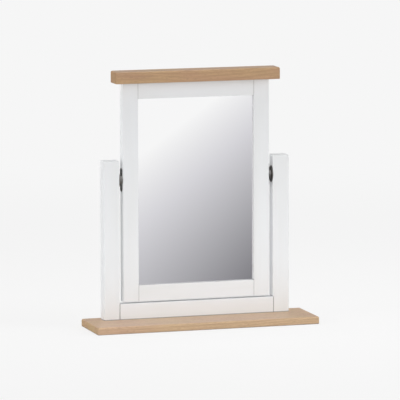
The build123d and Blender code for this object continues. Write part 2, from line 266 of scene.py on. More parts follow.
class PaintSettings(bpy.types.PropertyGroup):
    """The white satin paint of the posts, the low rail and the mirror frame."""

    white: colour("White", "Colour of the paint", (0.828, 0.839, 0.854))
    thin: colour("Thin paint", "Colour where the paint lies thinner", (0.803, 0.812, 0.817))
    cloud_length: length("Cloud length", "Length of a place with thinner paint", 0.30)
    cloud_width: length("Cloud width", "Width of a place with thinner paint", 0.04)
    ripple_size: length("Ripple size", "Width of the paint's fine ripple", 0.0016)
    ripple_depth: length("Ripple depth", "Depth of the paint's fine ripple", 0.000012)
    grain_length: length("Grain length", "Length of the wood grain under the paint", 0.045)
    grain_width: length("Grain width", "Width of the wood grain under the paint", 0.0011)
    grain_depth: length("Grain depth", "Depth of the wood grain under the paint", 0.000022)
    rub_tone: colour("Rubbed edge", "Colour where the paint is rubbed thin", (0.700, 0.690, 0.660))
    rub_width: length("Rub width", "Width of the rub along an edge", 0.0012)
    rub: share("Rub", "How strongly the rub shows", 0.30)
    roughness: share("Roughness", "Roughness of the paint", 0.48)
    unevenness: share("Unevenness", "How far the roughness varies either way", 0.05)
    gloss: share("Gloss", "Strength of the paint's reflection", 0.25)


class PlainWoodSettings(bpy.types.PropertyGroup):
    """The bare wood of the beads and the dowels, and the hardboard at the back."""

    bead: colour("Bead wood", "Colour of the beads' softwood", (0.560, 0.385, 0.215))
    bead_line: colour("Bead grain", "Darker grain of the beads", (0.400, 0.235, 0.110))
    dowel: colour("Dowel wood", "Colour of the dowels' beech", (0.520, 0.330, 0.190))
    dowel_line: colour("Dowel grain", "Darker grain of the dowels", (0.390, 0.220, 0.115))
    ring_spacing: length("Ring spacing", "Distance between two rings of the bare wood", 0.0021)
    line_length: length("Line length", "Length of a line of the grain", 0.15)
    line_shade: share("Line shade", "How strongly the lines show", 0.6)
    strand_length: length("Strand length", "Length of a fine strand of the wood", 0.012)
    strand_width: length("Strand width", "Width of a fine strand of the wood", 0.0004)
    strand_depth: length("Strand depth", "Depth between the strands", 0.00004)
    strand_shade: share("Strand shade", "How strongly the strands show", 0.2)
    roughness: share("Roughness", "Roughness of the planed wood", 0.68)
    board: colour("Board", "Colour of the hardboard", (0.165, 0.086, 0.043))
    board_fibre: colour("Board fibres", "Lighter fibres of the hardboard", (0.270, 0.160, 0.088))
    board_shine: share("Board shine", "Roughness of the hardboard's smooth parts", 0.42)
    board_dull: share("Board dull", "Roughness of the hardboard's fibres", 0.62)
    cloud_size: length("Cloud size", "Width of the hardboard's slow clouds", 1.0 / 12.0)
    cloud_shade: share("Cloud shade", "Least share of the fibres that a cloud leaves", 0.5)
    fibre_size: length("Fibre size", "Length of a fibre in the hardboard", 0.0016)
    fibre_depth: length("Fibre depth", "Depth of the hardboard's surface", 0.00005)


class GlassSettings(bpy.types.PropertyGroup):
    """The silvered glass."""

    silver: colour("Silver", "Colour of the silvering through the glass", (0.962, 0.958, 0.985))
    clouding: share("Clouding", "Roughness where the glass was wiped", 0.012)
    wipe_size: length("Wipe size", "Width of the marks left by wiping", 0.035)


class MetalSettings(bpy.types.PropertyGroup):
    """The hinges, their washers and the screws."""

    plating: colour("Dark plating", "Colour of the aged plating", (0.080, 0.079, 0.078))
    worn: colour("Worn plating", "Colour where the plating is rubbed", (0.300, 0.293, 0.285))
    steel: colour("Steel", "Colour of the zinc-plated steel", (0.480, 0.475, 0.465))
    steel_dull: colour("Dull steel", "Colour of the steel's duller patches", (0.330, 0.325, 0.320))
    shine: share("Shine", "Roughness of the metal's smooth patches", 0.34)
    dull: share("Dull", "Roughness of the metal's dull patches", 0.52)
    cloud_size: length("Cloud size", "Width of the plating's patches", 0.004)
    pit_size: length("Pit size", "Width of the plating's fine pits", 0.0007)
    pit_depth: length("Pit depth", "Depth of the plating's fine pits", 0.00003)
    rubbed_edge: length("Rubbed edge", "Width of the bright rub along an edge", 0.0007)
    fibre: colour("Fibre", "Colour of the fibre washers", (0.050, 0.026, 0.020))
    fibre_light: number("Fibre specks", "Tone of the fibre's light specks, of its own", 1.7)
    speck_size: length("Speck size", "Width of a speck in the fibre", 1.0 / 1500.0)
    speck_depth: length("Speck depth", "Depth of the fibre's surface", 0.00003)
    fibre_roughness: share("Fibre roughness", "Roughness of the fibre washers", 0.6)


class ScrewSettings(bpy.types.PropertyGroup):
    """The countersunk wood screws with a cross in the head."""

    cross_reach: share("Cross reach", "Reach of the cross, of the head's radius", 0.56)
    cross_width: share("Cross width", "Half the width of an arm, of the head's radius", 0.15)
    cross_depth: share("Cross depth", "Depth of the cross, of the head's radius", 0.62)
    thread_pitch: share("Thread pitch", "Pitch of the thread, of the shank's diameter", 0.42)
    thread_depth: share("Thread depth", "Depth of the thread, of the shank's radius", 0.24)
    plain_part: share("Plain part", "Share of the shank without a thread", 0.3)
    rows_per_turn: IntProperty(
        name="Rows per turn", description="Points along one pitch", default=5, min=3
    )


class StudioSettings(bpy.types.PropertyGroup):
    """The camera, the lamps and the pale floor."""

    background: colour("Background", "Colour behind the object", (0.922, 0.922, 0.922))
    floor: colour("Floor", "Colour of the floor under the lamps", (0.900, 0.900, 0.900))
    shade_kept: share("Shade kept", "Share of the object's shadow that the floor shows", 0.25)
    usual_floor: share("Usual floor", "Brightness of the lit floor away from any shadow", 0.68)
    reflected_back: share("Reflected back", "Brightness that a reflection sees behind", 0.50)
    # Painted light and shade that the floor shows in reflections
    reflected_dark: colour(
        "Reflected dark", "Darkest tone of the floor in a reflection", (0.234, 0.232, 0.244)
    )
    reflected_middle: colour(
        "Reflected middle", "Middle tone of the floor in a reflection", (0.690, 0.687, 0.701)
    )
    reflected_light: colour(
        "Reflected light", "Lightest tone of the floor in a reflection", (0.958, 0.962, 0.938)
    )
    fill: number("Fill", "Strength of the light all round", 0.35)
    lamp_size: length("Lamp size", "Side of the large lamps", 1.6)
    left_power: number("Left", "Power of the left lamp", 48.0)
    left_place: place("Left place", "Where the left lamp stands", (-4.4, -0.6, 0.9))
    right_power: number("Right", "Power of the right lamp", 44.0)
    right_place: place("Right place", "Where the right lamp stands", (3.0, -1.5, 1.3))
    top_power: number("Top", "Power of the lamp overhead", 32.0)
    top_place: place("Top place", "Where the lamp overhead hangs", (0.0, 0.2, 2.8))
    back_power: number("Back", "Power of the back lamp", 90.0)
    back_place: place("Back place", "Where the back lamp stands", (-1.3, 4.0, 0.6))
    front_power: number("Front", "Power of the front left lamp", 32.0)
    front_place: place("Front place", "Where the front left lamp stands", (-2.6, -3.2, 1.0))
    strip_power: number("Strip", "Power of the low strip lamp", 1.65)
    strip_place: place("Strip place", "Where the low strip lamp lies", (0.0, -0.60, 0.03))
    strip_target: place("Strip target", "Point that the strip lamp faces", (0.0, 0.0, 0.1))
    strip_length: length("Strip length", "Length of the strip lamp", 1.5)
    strip_width: length("Strip width", "Width of the strip lamp", 0.06)
    target: place("Target", "Point that the camera looks at", (-0.00048, 0.0, 0.28623))
    distance: length("Distance", "From the camera to its target", 9.0449)
    azimuth: angle("Azimuth", "Turn of the camera to the left of the front", 17.144)
    elevation: angle("Elevation", "Height of the camera over the horizon", 7.477)
    roll: angle("Roll", "Turn of the camera about its own line of sight", -0.147)
    lens: number("Lens", "Focal length in millimetres, for the usual 36 mm sensor", 360.0)


# Materials

class Shader:
    """The nodes of a new material or world, with short calls that add and join them."""

    def __init__(self, owner):
        self.owner = owner
        owner.use_nodes = True
        self.tree = owner.node_tree
        self.tree.nodes.clear()

    def node(self, kind, inputs=None, **settings):
        """A node whose inputs are numbers, colours or other nodes' outputs."""
        made = self.tree.nodes.new("ShaderNode" + kind)
        for key, value in settings.items():
            setattr(made, key, value)
        for key, value in (inputs or {}).items():
            if isinstance(value, bpy.types.NodeSocket):
                self.tree.links.new(value, made.inputs[key])
            else:
                made.inputs[key].default_value = value
        return made

    def here(self):
        """The point on the object, in the model's frame."""
        return self.node("TexCoord").outputs["Object"]

    def reflected(self):
        """1 for a ray that left a surface as a reflection or through glass, otherwise 0."""
        rays = self.node("LightPath").outputs
        return self.math("MAXIMUM", rays["Is Glossy Ray"], rays["Is Transmission Ray"])

    def camera(self):
        """1 for a ray that comes straight from the camera, otherwise 0."""
        return self.node("LightPath").outputs["Is Camera Ray"]

    def scaled(self, point, scale, location=(0.0, 0.0, 0.0), rotation=(0.0, 0.0, 0.0)):
        """A point moved, turned and stretched for a pattern."""
        return self.node(
            "Mapping",
            {"Vector": point, "Scale": scale, "Location": location, "Rotation": rotation},
        ).outputs["Vector"]

    def noise(self, point, scale, detail=2.0, output="Fac"):
        """Soft noise whose features are about as wide as one over the scale on each axis."""
        return self.node(
            "TexNoise", {"Vector": self.scaled(point, scale), "Scale": 1.0, "Detail": detail}
        ).outputs[output]

    def math(self, operation, *values):
        """One sum on numbers."""
        return self.node("Math", dict(enumerate(values)), operation=operation).outputs[0]

    def vector(self, operation, *values, output="Vector"):
        """One sum on vectors."""
        made = self.node("VectorMath", dict(enumerate(values)), operation=operation)
        return made.outputs[output]

    def times(self, vector, factor):
        """A vector or colour times a number."""
        made = self.node("VectorMath", {0: vector, "Scale": factor}, operation="SCALE")
        return made.outputs["Vector"]

    def ramp(self, value, low, high, start=0.0, end=1.0, shape="SMOOTHSTEP"):
        """A change from start to end as the value goes from low to high."""
        return self.node(
            "MapRange",
            {"Value": value, "From Min": low, "From Max": high, "To Min": start, "To Max": end},
            interpolation_type=shape,
        ).outputs["Result"]

    def blend(self, factor, first, second):
        """Two colours mixed by a factor."""
        return self.node(
            "Mix", {0: factor, 6: opaque(first), 7: opaque(second)}, data_type="RGBA"
        ).outputs[2]

    def bump(self, height, depth, below=None):
        """A relief of that depth, over another relief where one is given."""
        inputs = {"Height": height, "Distance": depth}
        if below is not None:
            inputs["Normal"] = below
        return self.node("Bump", inputs).outputs["Normal"]

    def with_painted_seam_shade(self, tone):
        """The tone with painted shade in seams, narrow corners and where parts meet."""
        near = self.node("AmbientOcclusion", {"Distance": SEAM_REACH}, samples=8).outputs["AO"]
        return self.blend(self.ramp(near, *SEAM_OPENNESS, SEAM_SHADE, 0.0), tone, SEAM_SHADE_COLOUR)

    def edge(self, reach):
        """1 along the edges, fading to 0 at about that distance from them."""
        rounded = self.node("Bevel", {"Radius": reach}, samples=4).outputs["Normal"]
        flat = self.node("NewGeometry").outputs["Normal"]
        turned = self.vector("DOT_PRODUCT", rounded, flat, output="Value")
        return self.ramp(turned, *EDGE_TURN, 1.0, 0.0)

    def rubbed(self, tone, settings):
        """The tone, paler or barer along the edges, where hands and cloths rub."""
        rub = self.math("MULTIPLY", self.edge(settings.rub_width), settings.rub)
        return self.blend(rub, tone, settings.rub_tone)

    def finish(self, **inputs):
        """Ends the material in a Principled surface and returns it."""
        named = {key.replace("_", " "): value for key, value in inputs.items()}
        return self.end(self.node("BsdfPrincipled", named))

    def end(self, surface):
        """Joins a node's surface to the output and returns the finished material or world."""
        kind = "OutputWorld" if isinstance(self.owner, bpy.types.World) else "OutputMaterial"
        self.node(kind, {"Surface": surface.outputs[0]})
        return self.owner


def opaque(value):
    """A colour with full alpha, or the socket as it is."""
    if isinstance(value, bpy.types.NodeSocket):
        return value
    return (*value, 1.0)


def dress(material, *nodes):
    """Puts a material on these CAD nodes."""
    for name in nodes:
        slots = frame["nodes"][name].data.materials
        slots.clear()
        slots.append(material)


def along_x(pattern_length, pattern_width):
    """The scale that stretches a pattern along X."""
    return (1.0 / pattern_length, 1.0 / pattern_width, 1.0 / pattern_width)


def along_z(pattern_length, pattern_width):
    """The scale that stretches a pattern along Z."""
    return (1.0 / pattern_width, 1.0 / pattern_width, 1.0 / pattern_length)


def all_ways(pattern_size):
    """The scale of a pattern that is as wide as it is long."""
    return (1.0 / pattern_size,) * 3


def rings(shader, point, spacing):
    """How far a point is through its year's ring, for a trunk along the point's X axis."""
    across = shader.vector("MULTIPLY", point, (0.0, 1.0, 1.0))
    radius = shader.vector("LENGTH", across, output="Value")
    return shader.math("FRACT", shader.math("DIVIDE", radius, spacing))


def board_tone_and_painted_light(shader, fibres, shade, end, flat):
    """A board's own tone on its front and its ends, painted light on its flat faces, and 1 on the
    ends.

    The tone is a colour that multiplies the oak's, and varies a little from fibre to fibre. The
    flat faces are lighter or darker than the front by a factor that stands for the light falling
    on them, which is painted light. The ends take oak's darker end grain, in a tone set per board
    partly for how its ends are lit.
    """
    facing = shader.node("SeparateXYZ", {0: shader.node("TexCoord").outputs["Normal"]}).outputs
    on_end = shader.ramp(shader.math("ABSOLUTE", facing["X"]), *FACE_TURN)
    # Painted light: the flat faces are lighter or darker than the front by the given factor
    painted_top_light = shader.ramp(shader.math("ABSOLUTE", facing["Z"]), *FACE_TURN, 1.0, flat)
    fibre_tone = shader.ramp(fibres, *SOFT_NOISE, *FIBRE_TONES)
    # End grain is darker, as oak's is; the tone per board is also set for how its ends are lit
    end_shade = tuple(first * second for first, second in zip(shade, end))
    face_tone = shader.blend(on_end, shade, end_shade)
    return shader.times(face_tone, shader.math("MULTIPLY", fibre_tone, painted_top_light)), on_end


def oak(name, heart, shade, end, flat, settings):
    """Lacquered oak sawn along X from a trunk whose heart runs through the point given.

    The rings are circles about the heart, bent by slow noise so that they draw arches on the
    board's faces. Pores are thin streaks that lie thickest in the light half of each ring.
    """
    shader = Shader(bpy.data.materials.new(name))
    to_heart = tuple(-value for value in heart)
    point = shader.scaled(shader.here(), all_ways(1.0), to_heart, TRUNK_LEAN)
    sway = along_x(settings.sway_length, settings.sway_width)
    bend = settings.ring_bend
    drift = shader.vector(
        "MULTIPLY_ADD", shader.noise(point, sway, detail=1.5, output="Color"),
        (0.0, 2.0 * bend, 2.0 * bend), (0.0, -bend, -bend),
    )
    bent = shader.vector("ADD", point, drift)
    year = rings(shader, bent, settings.ring_spacing)
    darker, paler = shader.ramp(year, *RING_DARKENS), shader.ramp(year, *RING_PALES, 1.0, 0.0)
    late = shader.math("MULTIPLY", darker, paler)
    streaks = shader.noise(bent, along_x(settings.pore_length, settings.pore_width), detail=0.5)
    early = shader.math("SUBTRACT", EARLY_PORES, late)
    pores = shader.math("MULTIPLY", shader.ramp(streaks, *OAK_PORES), early)
    fibres = shader.noise(bent, along_x(settings.fibre_length, settings.fibre_width), detail=3.0)
    patches = shader.noise(bent, along_x(settings.patch_length, settings.patch_width), detail=1.0)
    tone = shader.blend(shader.ramp(patches, *OAK_PATCHES), settings.straw, settings.rose)
    lined = shader.blend(shader.math("MULTIPLY", late, settings.ring_shade), tone, settings.late)
    board, on_end = board_tone_and_painted_light(shader, fibres, shade, end, flat)
    shaded = shader.vector("MULTIPLY", lined, board)
    shown = shader.math("MULTIPLY", pores, settings.pore_shade)
    pitted = shader.blend(shown, shaded, settings.pore)
    dull = shader.math("MULTIPLY", on_end, settings.end_dullness)
    rough = settings.roughness
    in_pores = shader.ramp(pores, 0.0, 1.0, rough, rough + PORE_DULLNESS)
    sunk = shader.math("ADD", pores, shader.math("MULTIPLY", late, LATE_SINK))
    # The base colour takes painted shade in seams and corners, over the oak and its rub along
    # edges
    return shader.finish(
        Base_Color=shader.with_painted_seam_shade(shader.rubbed(pitted, settings)),
        Roughness=shader.math("ADD", in_pores, dull),
        Specular_IOR_Level=settings.gloss,
        Normal=shader.bump(shader.math("SUBTRACT", 0.0, sunk), settings.pore_depth),
    )


def paint(name, stretch, settings):
    """White satin paint with a fine ripple, over grain that still shows a little."""
    shader = Shader(bpy.data.materials.new(name))
    point = shader.here()
    ripple = shader.noise(point, all_ways(settings.ripple_size), detail=1.0)
    grain = shader.noise(point, stretch(settings.grain_length, settings.grain_width))
    cloud = shader.noise(point, stretch(settings.cloud_length, settings.cloud_width))
    tone = shader.blend(shader.ramp(cloud, *PAINT_CLOUDS), settings.white, settings.thin)
    rough, uneven = settings.roughness, settings.unevenness
    # The base colour takes painted shade in seams and corners, over the paint and its rub along
    # edges
    return shader.finish(
        Base_Color=shader.with_painted_seam_shade(shader.rubbed(tone, settings)),
        Roughness=shader.ramp(cloud, *SOFT_NOISE, rough - uneven, rough + uneven),
        Specular_IOR_Level=settings.gloss,
        Normal=shader.bump(
            ripple, settings.ripple_depth, shader.bump(grain, settings.grain_depth)
        ),
    )


def bare_wood(name, tone, line, stretch, settings):
    """Planed wood with soft straight lines along its length."""
    shader = Shader(bpy.data.materials.new(name))
    point = shader.here()
    lines = shader.noise(point, stretch(settings.line_length, settings.ring_spacing))
    strand = stretch(settings.strand_length, settings.strand_width)
    strands = shader.noise(point, strand, detail=1.0)
    darker = shader.math(
        "ADD",
        shader.math("MULTIPLY", shader.ramp(lines, *WOOD_LINES), settings.line_shade),
        shader.math("MULTIPLY", shader.ramp(strands, *WOOD_STRANDS), settings.strand_shade),
    )
    return shader.finish(
        Base_Color=shader.blend(darker, tone, line),
        Roughness=settings.roughness,
        Normal=shader.bump(strands, settings.strand_depth),
    )


def hardboard(settings):
    """Smooth pressed board with short fibres lying every way."""
    shader = Shader(bpy.data.materials.new("hardboard"))
    point = shader.here()
    first, second = (
        shader.noise(point, tuple(value / settings.fibre_size for value in fineness))
        for fineness in (FIRST_FIBRES, SECOND_FIBRES)
    )
    fibres = shader.math("MAXIMUM", first, second)
    cloud = shader.noise(point, all_ways(settings.cloud_size))
    left = shader.ramp(cloud, *BOARD_CLOUDS, settings.cloud_shade, 1.0)
    shown = shader.math("MULTIPLY", shader.ramp(fibres, *BOARD_FIBRES), left)
    return shader.finish(
        Base_Color=shader.blend(shown, settings.board, settings.board_fibre),
        Roughness=shader.ramp(fibres, *BOARD_SHINE, settings.board_shine, settings.board_dull),
        Normal=shader.bump(fibres, settings.fibre_depth),
    )


def silvered_glass(settings):
    """A mirror with the faint clouding that a cloth leaves."""
    shader = Shader(bpy.data.materials.new("silvered glass"))
    point = shader.scaled(shader.here(), all_ways(settings.wipe_size), rotation=WIPE_TURN)
    marks = shader.noise(point, WIPE_STRETCH)
    return shader.finish(
        Base_Color=opaque(settings.silver),
        Metallic=1.0,
        Roughness=shader.ramp(marks, *WIPE_MARKS, 0.0, settings.clouding),
    )


def plated(name, tone, worn, settings, pivot_wear_and_light=None):
    """Pressed metal with cloudy plating and fine pits.

    A hinge piece is also rubbed brighter along its edges, and is paler round its pivot, as wear
    and as painted light where the cups catch the light. The pale ring fades between the two
    distances from the pivot's axis that the last argument gives.
    """
    shader = Shader(bpy.data.materials.new(name))
    point = shader.here()
    cloud = shader.noise(point, all_ways(settings.cloud_size))
    pits = shader.noise(point, all_ways(settings.pit_size), detail=1.0)
    wear = shader.ramp(cloud, *METAL_CLOUDS, 0.0, PATCH_RUB)
    if pivot_wear_and_light:
        edge = shader.math("MULTIPLY", shader.edge(settings.rubbed_edge), EDGE_RUB)
        wear = shader.math("MAXIMUM", wear, edge)
        # Paler round the pivot: wear, and painted light where the cups catch the light
        from_pivot = (0.0, -PIVOT[0], -PIVOT[1])
        swept = shader.vector("MULTIPLY_ADD", point, (0.0, 1.0, 1.0), from_pivot)
        turned = shader.vector("LENGTH", swept, output="Value")
        wear = shader.math("MAXIMUM", wear, shader.ramp(turned, *pivot_wear_and_light, PIVOT_RUB_AND_LIGHT, 0.0))
    return shader.finish(
        Base_Color=shader.blend(wear, tone, worn),
        Metallic=1.0,
        Roughness=shader.ramp(cloud, *METAL_SHINE, settings.shine, settings.dull),
        Normal=shader.bump(pits, settings.pit_depth),
    )


def fibre(settings):
    """Hard red-brown fibre with a dull speckle."""
    shader = Shader(bpy.data.materials.new("vulcanised fibre"))
    specks = shader.noise(shader.here(), all_ways(settings.speck_size))
    lighter = tuple(value * settings.fibre_light for value in settings.fibre)
    return shader.finish(
        Base_Color=shader.blend(specks, settings.fibre, lighter),
        Roughness=settings.fibre_roughness,
        Normal=shader.bump(specks, settings.speck_depth),
    )


# Screws

def cross_grid(settings):
    """Places of the head's grid lines, from -1 to 1, with lines along the cross's walls."""
    width, reach = settings.cross_width, settings.cross_reach
    half = [width * WALL_FOOT, width, reach * ARM_LINE, reach * END_FOOT, reach, HEAD_LINE, 1.0]
    return np.array([-value for value in reversed(half)] + [0.0] + half)


def head_points(radius, settings):
    """The head's top on a square grid, as an array of rows, columns and X, Y, Z.

    Inside the cross's reach the grid is square; outside, it eases to circles, so its border is
    the head's rim. The top is level, and sinks inside the two arms by a depth that grows towards
    the middle.
    """
    width, reach = settings.cross_width, settings.cross_reach
    lines = cross_grid(settings)
    first, second = np.meshgrid(lines, lines, indexing="ij")
    near = np.minimum(np.abs(first), np.abs(second))
    far = np.maximum(np.abs(first), np.abs(second))
    distance = np.maximum(np.hypot(first, second), 1e-9)
    ease = np.clip((far - reach) / (1.0 - reach), 0.0, 1.0)
    ease = ease * ease * (3.0 - 2.0 * ease)
    spread = 1.0 - ease + ease * far / distance
    wall = np.clip((width - near) / (width * (1.0 - WALL_FOOT)), 0.0, 1.0)
    end = np.clip((reach - far) / (reach * (1.0 - END_FOOT)), 0.0, 1.0)
    cone = np.clip(1.0 - CROSS_TAPER * far / reach, 0.0, 1.0)
    sink = settings.cross_depth * wall * end * cone
    return np.stack([first * spread, second * spread, -sink], axis=-1) * radius


def rim_order(count):
    """Grid places round the border of a square grid, each once, anticlockwise."""
    up = np.arange(count - 1)
    down = np.arange(count - 1, 0, -1)
    low, high = np.zeros(count - 1, int), np.full(count - 1, count - 1)
    rows = np.concatenate([up, high, down, low])
    columns = np.concatenate([low, up, high, down])
    return rows, columns


def shank_points(angles, head_radius, shank_radius, screw_length, settings):
    """The rings of points below the head's rim, as an array of rings, angles and X, Y, Z.

    A ring's radius follows the head's cone, the plain part and the tip, less the thread's
    groove, which is a wave of the height over the pitch minus the angle over a turn.
    """
    cone_end = shank_radius - head_radius
    pitch = settings.thread_pitch * 2.0 * shank_radius
    thread_start = cone_end - settings.plain_part * (screw_length + cone_end)
    tip_start = 2.0 * shank_radius - screw_length
    thread_rows = int((thread_start + screw_length) / pitch * settings.rows_per_turn)
    heights = np.concatenate([
        [-RIM_DROP * head_radius, cone_end, thread_start],
        np.linspace(thread_start, -screw_length, thread_rows + 2)[1:-1],
    ])
    core = np.clip((heights + screw_length) / (tip_start + screw_length), 0.0, 1.0)
    core *= shank_radius
    core[0] = head_radius
    grown = np.clip((thread_start - heights) / pitch, 0.0, 1.0)
    groove = settings.thread_depth * grown * core
    phase = heights[:, None] / pitch - angles[None, :] / (2.0 * math.pi)
    wave = 0.5 - 0.5 * np.cos(2.0 * math.pi * phase)
    radius = core[:, None] - groove[:, None] * wave
    level = np.repeat(heights[:, None], len(angles), 1)
    return np.stack([radius * np.cos(angles), radius * np.sin(angles), level], axis=-1)


def screw_shape(head_radius, shank_radius, screw_length, settings):
    """Points and faces of one screw pointing down Z, its head's top at the origin.

    The head's grid, then the rings below its rim, then the tip. Each ring is joined to the one
    above it by squares, and the last one to the tip by triangles.
    """
    top = head_points(head_radius, settings)
    count = len(top)
    rows, columns = rim_order(count)
    rim = top[rows, columns]
    angles = np.arctan2(rim[:, 1], rim[:, 0])
    below = shank_points(angles, head_radius, shank_radius, screw_length, settings)
    tip = np.array([[0.0, 0.0, -screw_length]])
    points = np.concatenate([top.reshape(-1, 3), below.reshape(-1, 3), tip])

    index = np.arange(count * count).reshape(count, count)
    head_faces = np.stack([
        index[:-1, :-1], index[1:, :-1], index[1:, 1:], index[:-1, 1:]
    ], axis=-1).reshape(-1, 4)
    around = len(angles)
    side = count * count + np.arange(len(below) * around).reshape(-1, around)
    stack = np.vstack([index[rows, columns], side])
    turned = np.roll(stack, -1, axis=1)
    side_faces = np.stack([
        stack[:-1], stack[1:], turned[1:], turned[:-1]
    ], axis=-1).reshape(-1, 4)
    last = np.full(around, len(points) - 1)
    tip_faces = np.stack([stack[-1], last, turned[-1]], axis=-1)
    return points, (head_faces, side_faces, tip_faces)


def screws_in(node, out, side):
    """Where a CAD node's plain screws are and how large, read from the node's mesh.

    Only the screws on that side of the middle, -1, 1 or 0 for all, with heads facing out count.
    Each screw's tip is a point on its axis, and its head's top lies the screw's length above.
    """
    mesh = frame["nodes"][node].data
    points = np.empty(len(mesh.vertices) * 3)
    mesh.vertices.foreach_get("co", points)
    points = points.reshape(-1, 3)
    points = points[points[:, 0] * side >= 0.0]
    out = np.array(out)
    height = points @ out
    low, high = height.min(), height.max()
    tips = np.unique(np.round(points[height < low + SAME_LEVEL], 5), axis=0)

    def reach(level):
        """The largest distance from a screw's axis to a point at that height."""
        chosen = points[np.abs(height - level) < SAME_LEVEL]
        apart = chosen[:, None] - tips[None]
        apart -= (apart @ out)[..., None] * out
        return np.linalg.norm(apart, axis=-1).min(axis=1).max()

    shank_end = height[height > low + SAME_LEVEL].min()
    return tips + (high - low) * out, (reach(high), reach(shank_end), high - low)


def screw_piece(node, faces_out, material, settings):
    """Replaces a CAD node of plain screws by one mesh of threaded screws with crosses."""
    all_points, all_faces = [], []
    start = 0
    for side, out in faces_out:
        turn = Vector(out).to_track_quat("Z", "Y").to_matrix()
        centres, sizes = screws_in(node, out, side)
        points, face_sets = screw_shape(*sizes, settings)
        for order, centre in enumerate(centres):
            spin = Matrix.Rotation(order * SCREW_SPIN, 3, "Z")
            all_points.append(points @ np.array(turn @ spin).T + centre)
            for face_set in face_sets:
                all_faces += (face_set + start).tolist()
            start += len(points)
    mesh = bpy.data.meshes.new(node)
    mesh.from_pydata(np.concatenate(all_points), [], all_faces)
    mesh.set_sharp_from_angle(angle=SHARP_ANGLE)
    mesh.materials.append(material)
    piece = bpy.data.objects.new("threaded_" + node, mesh)
    bpy.context.scene.collection.objects.link(piece)
    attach(piece, frame["nodes"][node]["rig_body"])
    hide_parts(node)
    return piece


# Studio

def aimed(name, where, target, power, size):
    """A lamp of that length and width, which stands at a place and shines at the target."""
    lamp = bpy.data.lights.new(name, "AREA")
    lamp.shape = "RECTANGLE"
    lamp.size, lamp.size_y = size
    lamp.energy = power
    holder = bpy.data.objects.new(name, lamp)
    bpy.context.scene.collection.objects.link(holder)
    holder.location = where
    holder.rotation_euler = (Vector(target) - Vector(where)).to_track_quat("-Z", "Y").to_euler()
    holder.visible_camera = False
    return holder


def spare_the_floor(floor, *lamps):
    """Keeps lamps off the floor, so that they light the mirror only."""
    lit = bpy.data.collections.new("all but the floor")
    for piece in bpy.context.scene.objects:
        if piece.type == "MESH" and piece != floor:
            lit.objects.link(piece)
    for lamp in lamps:
        lamp.light_linking.receiver_collection = lit


def studio_floor(settings):
    """A wide flat floor: one square whose corners are the four signs of its reach."""
    corners = np.array([(-1, -1, 0), (1, -1, 0), (1, 1, 0), (-1, 1, 0)]) * FLOOR_REACH
    mesh = bpy.data.meshes.new("studio_floor")
    mesh.from_pydata(corners, [], [(0, 1, 2, 3)])
    mesh.materials.append(floor_material(settings))
    floor = bpy.data.objects.new("studio_floor", mesh)
    bpy.context.scene.collection.objects.link(floor)
    return floor


def painted_reflected_light(shader, point, distance, settings):
    """Painted floor light in a reflection: an even slope of three tones, pale again far away."""
    dark, middle, light = (
        settings.reflected_dark, settings.reflected_middle, settings.reflected_light
    )
    slope = shader.vector("DOT_PRODUCT", point, REFLECTION_SLOPE, output="Value")
    bright = shader.math("ADD", slope, REFLECTION_AT_ORIGIN)
    near = shader.ramp(bright, dark[1], light[1], shape="LINEAR")
    level = shader.math("MAXIMUM", near, shader.ramp(distance, *REFLECTION_FADE))
    half_way = (middle[1] - dark[1]) / (light[1] - dark[1])
    lower = shader.ramp(level, 0.0, half_way, shape="LINEAR")
    upper = shader.ramp(level, half_way, 1.0, shape="LINEAR")
    return shader.blend(upper, shader.blend(lower, dark, middle), light)


def floor_material(settings):
    """A pale floor that keeps a soft share of the object's shadow.

    The camera sees the background's colour and, near the object, that share of the difference
    between the lit floor and its usual brightness. A reflection sees painted light and shade: the
    floor glows darker evenly to the right and a little to the back, as under a lamp on the left.
    """
    shader = Shader(bpy.data.materials.new("pale floor"))
    point = shader.here()
    distance = shader.vector("LENGTH", point, output="Value")
    lit = shader.node("BsdfDiffuse", {"Color": opaque(settings.floor)}).outputs[0]
    plain = shader.ramp(distance, *SHADOW_FADE, 1.0 - settings.shade_kept, 1.0)
    usual = shader.math("MULTIPLY", shader.math("SUBTRACT", 1.0, plain), -settings.usual_floor)
    level = shader.math("ADD", usual, settings.background[0])
    pale = shader.node("Emission", {"Color": opaque(WHITE), "Strength": level}).outputs[0]
    kept = shader.node("MixShader", {0: plain, 1: lit}).outputs[0]
    seen = shader.node("AddShader", {0: kept, 1: pale}).outputs[0]
    tone = painted_reflected_light(shader, point, distance, settings)
    # For reflected rays the floor glows with painted light and shade
    mirrored = shader.node("Emission", {"Color": tone}).outputs[0]
    other = shader.node("MixShader", {0: shader.reflected(), 1: lit, 2: mirrored}).outputs[0]
    return shader.end(shader.node("MixShader", {0: shader.camera(), 1: other, 2: seen}))


def studio_world(settings):
    """An even light all round, which the camera and reflections see as the pale background.

    In a reflection the background darkens towards the back, where a studio has no light.
    """
    shader = Shader(bpy.data.worlds.new("pale studio"))
    camera = shader.camera()
    ahead = shader.node("SeparateXYZ", {0: shader.node("TexCoord").outputs["Generated"]})
    back = settings.reflected_back
    behind = shader.ramp(ahead.outputs["Y"], *BACK_FADE, 1.0, back, "LINEAR")
    fill = shader.node("Background", {"Strength": settings.fill}).outputs[0]
    backdrop = shader.node("Background", {
        "Color": opaque(settings.background), "Strength": shader.math("MAXIMUM", behind, camera),
    }).outputs[0]
    seen = shader.math("MAXIMUM", camera, shader.reflected())
    return shader.end(shader.node("MixShader", {0: seen, 1: fill, 2: backdrop}))


